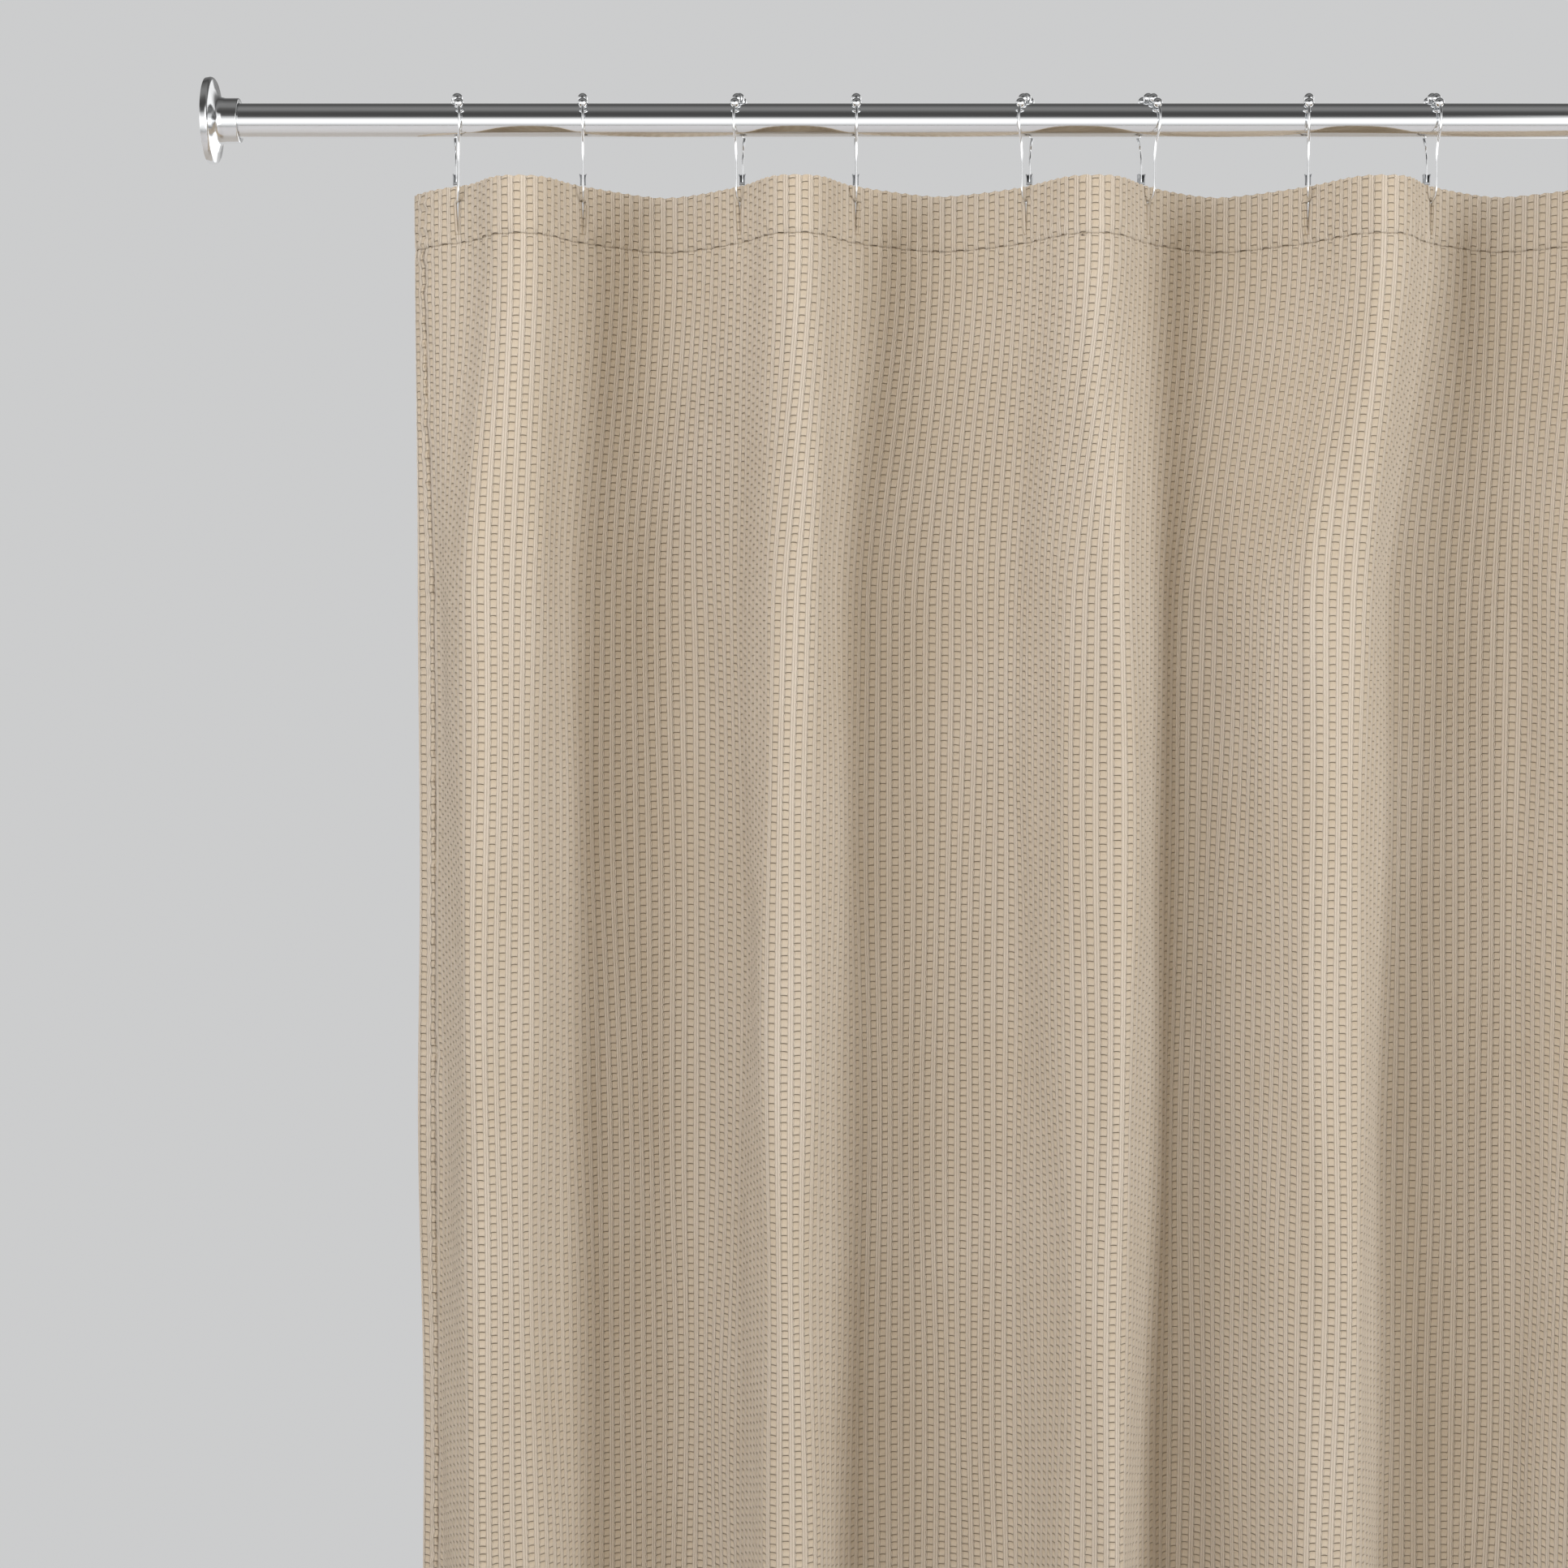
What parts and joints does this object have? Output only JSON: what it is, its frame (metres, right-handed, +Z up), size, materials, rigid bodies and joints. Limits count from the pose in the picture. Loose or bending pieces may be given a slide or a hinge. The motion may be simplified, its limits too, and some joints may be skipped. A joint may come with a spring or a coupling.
{
  "type": "shower curtain",
  "caption": "Waffle-weave shower curtain with buttonholed header and stitched hems, hung on roller-ball wire rings with spring clasps that slide on a round rod between wall flanges.",
  "frame": {"origin": "centre of the left flange's wall face, on the rod's axis", "axes": "+X along the rod towards the right flange, +Y away from the side that faces the room, +Z up"},
  "size_m": [1.524, 0.1264, 1.9099],
  "materials": {
    "cloth": "waffle weave, matte",
    "chrome_wire": "bright plated wire",
    "chrome_rollers": "bright plated balls",
    "rod_chrome": "polished tube",
    "flange_chrome": "polished turned flange"
  },
  "bodies": {
    "rod": {"rod_tube": "rod_chrome", "left_flange": "flange_chrome", "right_flange": "flange_chrome"},
    "curtain": {"header_band": "cloth", "cloth_panel": "cloth", "left_hem": "cloth", "right_hem": "cloth", "bottom_hem": "cloth", "ring_12_wire": "chrome_wire", "ring_12_rollers": "chrome_rollers", "ring_12_catch": "chrome_wire"},
    "ring_01": {"ring_01_wire": "chrome_wire", "ring_01_rollers": "chrome_rollers", "ring_01_catch": "chrome_wire"},
    "ring_02": {"ring_02_wire": "chrome_wire", "ring_02_rollers": "chrome_rollers", "ring_02_catch": "chrome_wire"},
    "ring_03": {"ring_03_wire": "chrome_wire", "ring_03_rollers": "chrome_rollers", "ring_03_catch": "chrome_wire"},
    "ring_04": {"ring_04_wire": "chrome_wire", "ring_04_rollers": "chrome_rollers", "ring_04_catch": "chrome_wire"},
    "ring_05": {"ring_05_wire": "chrome_wire", "ring_05_rollers": "chrome_rollers", "ring_05_catch": "chrome_wire"},
    "ring_06": {"ring_06_wire": "chrome_wire", "ring_06_rollers": "chrome_rollers", "ring_06_catch": "chrome_wire"},
    "ring_07": {"ring_07_wire": "chrome_wire", "ring_07_rollers": "chrome_rollers", "ring_07_catch": "chrome_wire"},
    "ring_08": {"ring_08_wire": "chrome_wire", "ring_08_rollers": "chrome_rollers", "ring_08_catch": "chrome_wire"},
    "ring_09": {"ring_09_wire": "chrome_wire", "ring_09_rollers": "chrome_rollers", "ring_09_catch": "chrome_wire"},
    "ring_10": {"ring_10_wire": "chrome_wire", "ring_10_rollers": "chrome_rollers", "ring_10_catch": "chrome_wire"},
    "ring_11": {"ring_11_wire": "chrome_wire", "ring_11_rollers": "chrome_rollers", "ring_11_catch": "chrome_wire"},
    "clasp_01": {"ring_01_clasp_arm": "chrome_wire"},
    "clasp_02": {"ring_02_clasp_arm": "chrome_wire"},
    "clasp_03": {"ring_03_clasp_arm": "chrome_wire"},
    "clasp_04": {"ring_04_clasp_arm": "chrome_wire"},
    "clasp_05": {"ring_05_clasp_arm": "chrome_wire"},
    "clasp_06": {"ring_06_clasp_arm": "chrome_wire"},
    "clasp_07": {"ring_07_clasp_arm": "chrome_wire"},
    "clasp_08": {"ring_08_clasp_arm": "chrome_wire"},
    "clasp_09": {"ring_09_clasp_arm": "chrome_wire"},
    "clasp_10": {"ring_10_clasp_arm": "chrome_wire"},
    "clasp_11": {"ring_11_clasp_arm": "chrome_wire"},
    "clasp_12": {"ring_12_clasp_arm": "chrome_wire"}
  },
  "joints": [
    {"name": "curtain_swing", "type": "hinge", "parent": "rod", "child": "curtain", "pos_m": [0.762, 0, 0], "axis": [1, 0, 0], "range_deg": [-15, 15]},
    {"name": "ring_01_slide", "type": "slide", "parent": "curtain", "child": "ring_01", "axis": [1, 0, 0], "range_m": [0, 0.749], "deforming": ["header_band", "cloth_panel", "left_hem", "right_hem", "bottom_hem"]},
    {"name": "ring_02_slide", "type": "slide", "parent": "curtain", "child": "ring_02", "axis": [1, 0, 0], "range_m": [0, 0.6882]},
    {"name": "ring_03_slide", "type": "slide", "parent": "curtain", "child": "ring_03", "axis": [1, 0, 0], "range_m": [0, 0.6122]},
    {"name": "ring_04_slide", "type": "slide", "parent": "curtain", "child": "ring_04", "axis": [1, 0, 0], "range_m": [0, 0.5556]},
    {"name": "ring_05_slide", "type": "slide", "parent": "curtain", "child": "ring_05", "axis": [1, 0, 0], "range_m": [0, 0.4731]},
    {"name": "ring_06_slide", "type": "slide", "parent": "curtain", "child": "ring_06", "axis": [1, 0, 0], "range_m": [0, 0.414]},
    {"name": "ring_07_slide", "type": "slide", "parent": "curtain", "child": "ring_07", "axis": [1, 0, 0], "range_m": [0, 0.3361]},
    {"name": "ring_08_slide", "type": "slide", "parent": "curtain", "child": "ring_08", "axis": [1, 0, 0], "range_m": [0, 0.2763]},
    {"name": "ring_09_slide", "type": "slide", "parent": "curtain", "child": "ring_09", "axis": [1, 0, 0], "range_m": [0, 0.1957]},
    {"name": "ring_10_slide", "type": "slide", "parent": "curtain", "child": "ring_10", "axis": [1, 0, 0], "range_m": [0, 0.1372]},
    {"name": "ring_11_slide", "type": "slide", "parent": "curtain", "child": "ring_11", "axis": [1, 0, 0], "range_m": [0, 0.0606]},
    {"name": "clasp_01_hinge", "type": "hinge", "parent": "ring_01", "child": "clasp_01", "pos_m": [0.18191, 0.0181, 0.00117], "axis": [-0.9781, -0.2079, 0], "range_deg": [0, 18], "stiffness_Nm_per_rad": 0.02},
    {"name": "clasp_02_hinge", "type": "hinge", "parent": "ring_02", "child": "clasp_02", "pos_m": [0.27839, 0.01846, 0.00117], "axis": [-0.9976, -0.0698, 0], "range_deg": [0, 18], "stiffness_Nm_per_rad": 0.02},
    {"name": "clasp_03_hinge", "type": "hinge", "parent": "ring_03", "child": "clasp_03", "pos_m": [0.40089, 0.01803, 0.00117], "axis": [-0.9744, 0.225, 0], "range_deg": [0, 18], "stiffness_Nm_per_rad": 0.02},
    {"name": "clasp_04_hinge", "type": "hinge", "parent": "ring_04", "child": "clasp_04", "pos_m": [0.48377, 0.01851, 0.00117], "axis": [-1, 0, 0], "range_deg": [0, 18], "stiffness_Nm_per_rad": 0.02},
    {"name": "clasp_05_hinge", "type": "hinge", "parent": "ring_05", "child": "clasp_05", "pos_m": [0.61775, 0.01716, 0.00117], "axis": [-0.9272, 0.3746, 0], "range_deg": [0, 18], "stiffness_Nm_per_rad": 0.02},
    {"name": "clasp_06_hinge", "type": "hinge", "parent": "ring_06", "child": "clasp_06", "pos_m": [0.69484, 0.01716, 0.00117], "axis": [-0.9272, -0.3746, 0], "range_deg": [0, 18], "stiffness_Nm_per_rad": 0.02},
    {"name": "clasp_07_hinge", "type": "hinge", "parent": "ring_07", "child": "clasp_07", "pos_m": [0.825, 0.01822, 0.00117], "axis": [-0.9848, 0.1736, 0], "range_deg": [0, 18], "stiffness_Nm_per_rad": 0.02},
    {"name": "clasp_08_hinge", "type": "hinge", "parent": "ring_08", "child": "clasp_08", "pos_m": [0.91126, 0.01833, 0.00117], "axis": [-0.9903, -0.1392, 0], "range_deg": [0, 18], "stiffness_Nm_per_rad": 0.02},
    {"name": "clasp_09_hinge", "type": "hinge", "parent": "ring_09", "child": "clasp_09", "pos_m": [1.04239, 0.01795, 0.00117], "axis": [-0.9703, 0.2419, 0], "range_deg": [0, 18], "stiffness_Nm_per_rad": 0.02},
    {"name": "clasp_10_hinge", "type": "hinge", "parent": "ring_10", "child": "clasp_10", "pos_m": [1.12599, 0.0184, 0.00117], "axis": [-0.9945, -0.1045, 0], "range_deg": [0, 18], "stiffness_Nm_per_rad": 0.02},
    {"name": "clasp_11_hinge", "type": "hinge", "parent": "ring_11", "child": "clasp_11", "pos_m": [1.25163, 0.0176, 0.00117], "axis": [-0.9511, 0.309, 0], "range_deg": [0, 18], "stiffness_Nm_per_rad": 0.02},
    {"name": "clasp_12_hinge", "type": "hinge", "parent": "curtain", "child": "clasp_12", "pos_m": [1.34019, 0.01846, 0.00117], "axis": [-0.9976, 0.0698, 0], "range_deg": [0, 18], "stiffness_Nm_per_rad": 0.02}
  ],
  "couplings": [
    {"joint": "ring_02_slide", "follows": "ring_01_slide", "ratio": 0.91855},
    {"joint": "ring_03_slide", "follows": "ring_01_slide", "ratio": 0.81705},
    {"joint": "ring_04_slide", "follows": "ring_01_slide", "ratio": 0.74156},
    {"joint": "ring_05_slide", "follows": "ring_01_slide", "ratio": 0.63139},
    {"joint": "ring_06_slide", "follows": "ring_01_slide", "ratio": 0.55251},
    {"joint": "ring_07_slide", "follows": "ring_01_slide", "ratio": 0.44843},
    {"joint": "ring_08_slide", "follows": "ring_01_slide", "ratio": 0.36861},
    {"joint": "ring_09_slide", "follows": "ring_01_slide", "ratio": 0.26101},
    {"joint": "ring_10_slide", "follows": "ring_01_slide", "ratio": 0.18295},
    {"joint": "ring_11_slide", "follows": "ring_01_slide", "ratio": 0.080634}
  ]
}
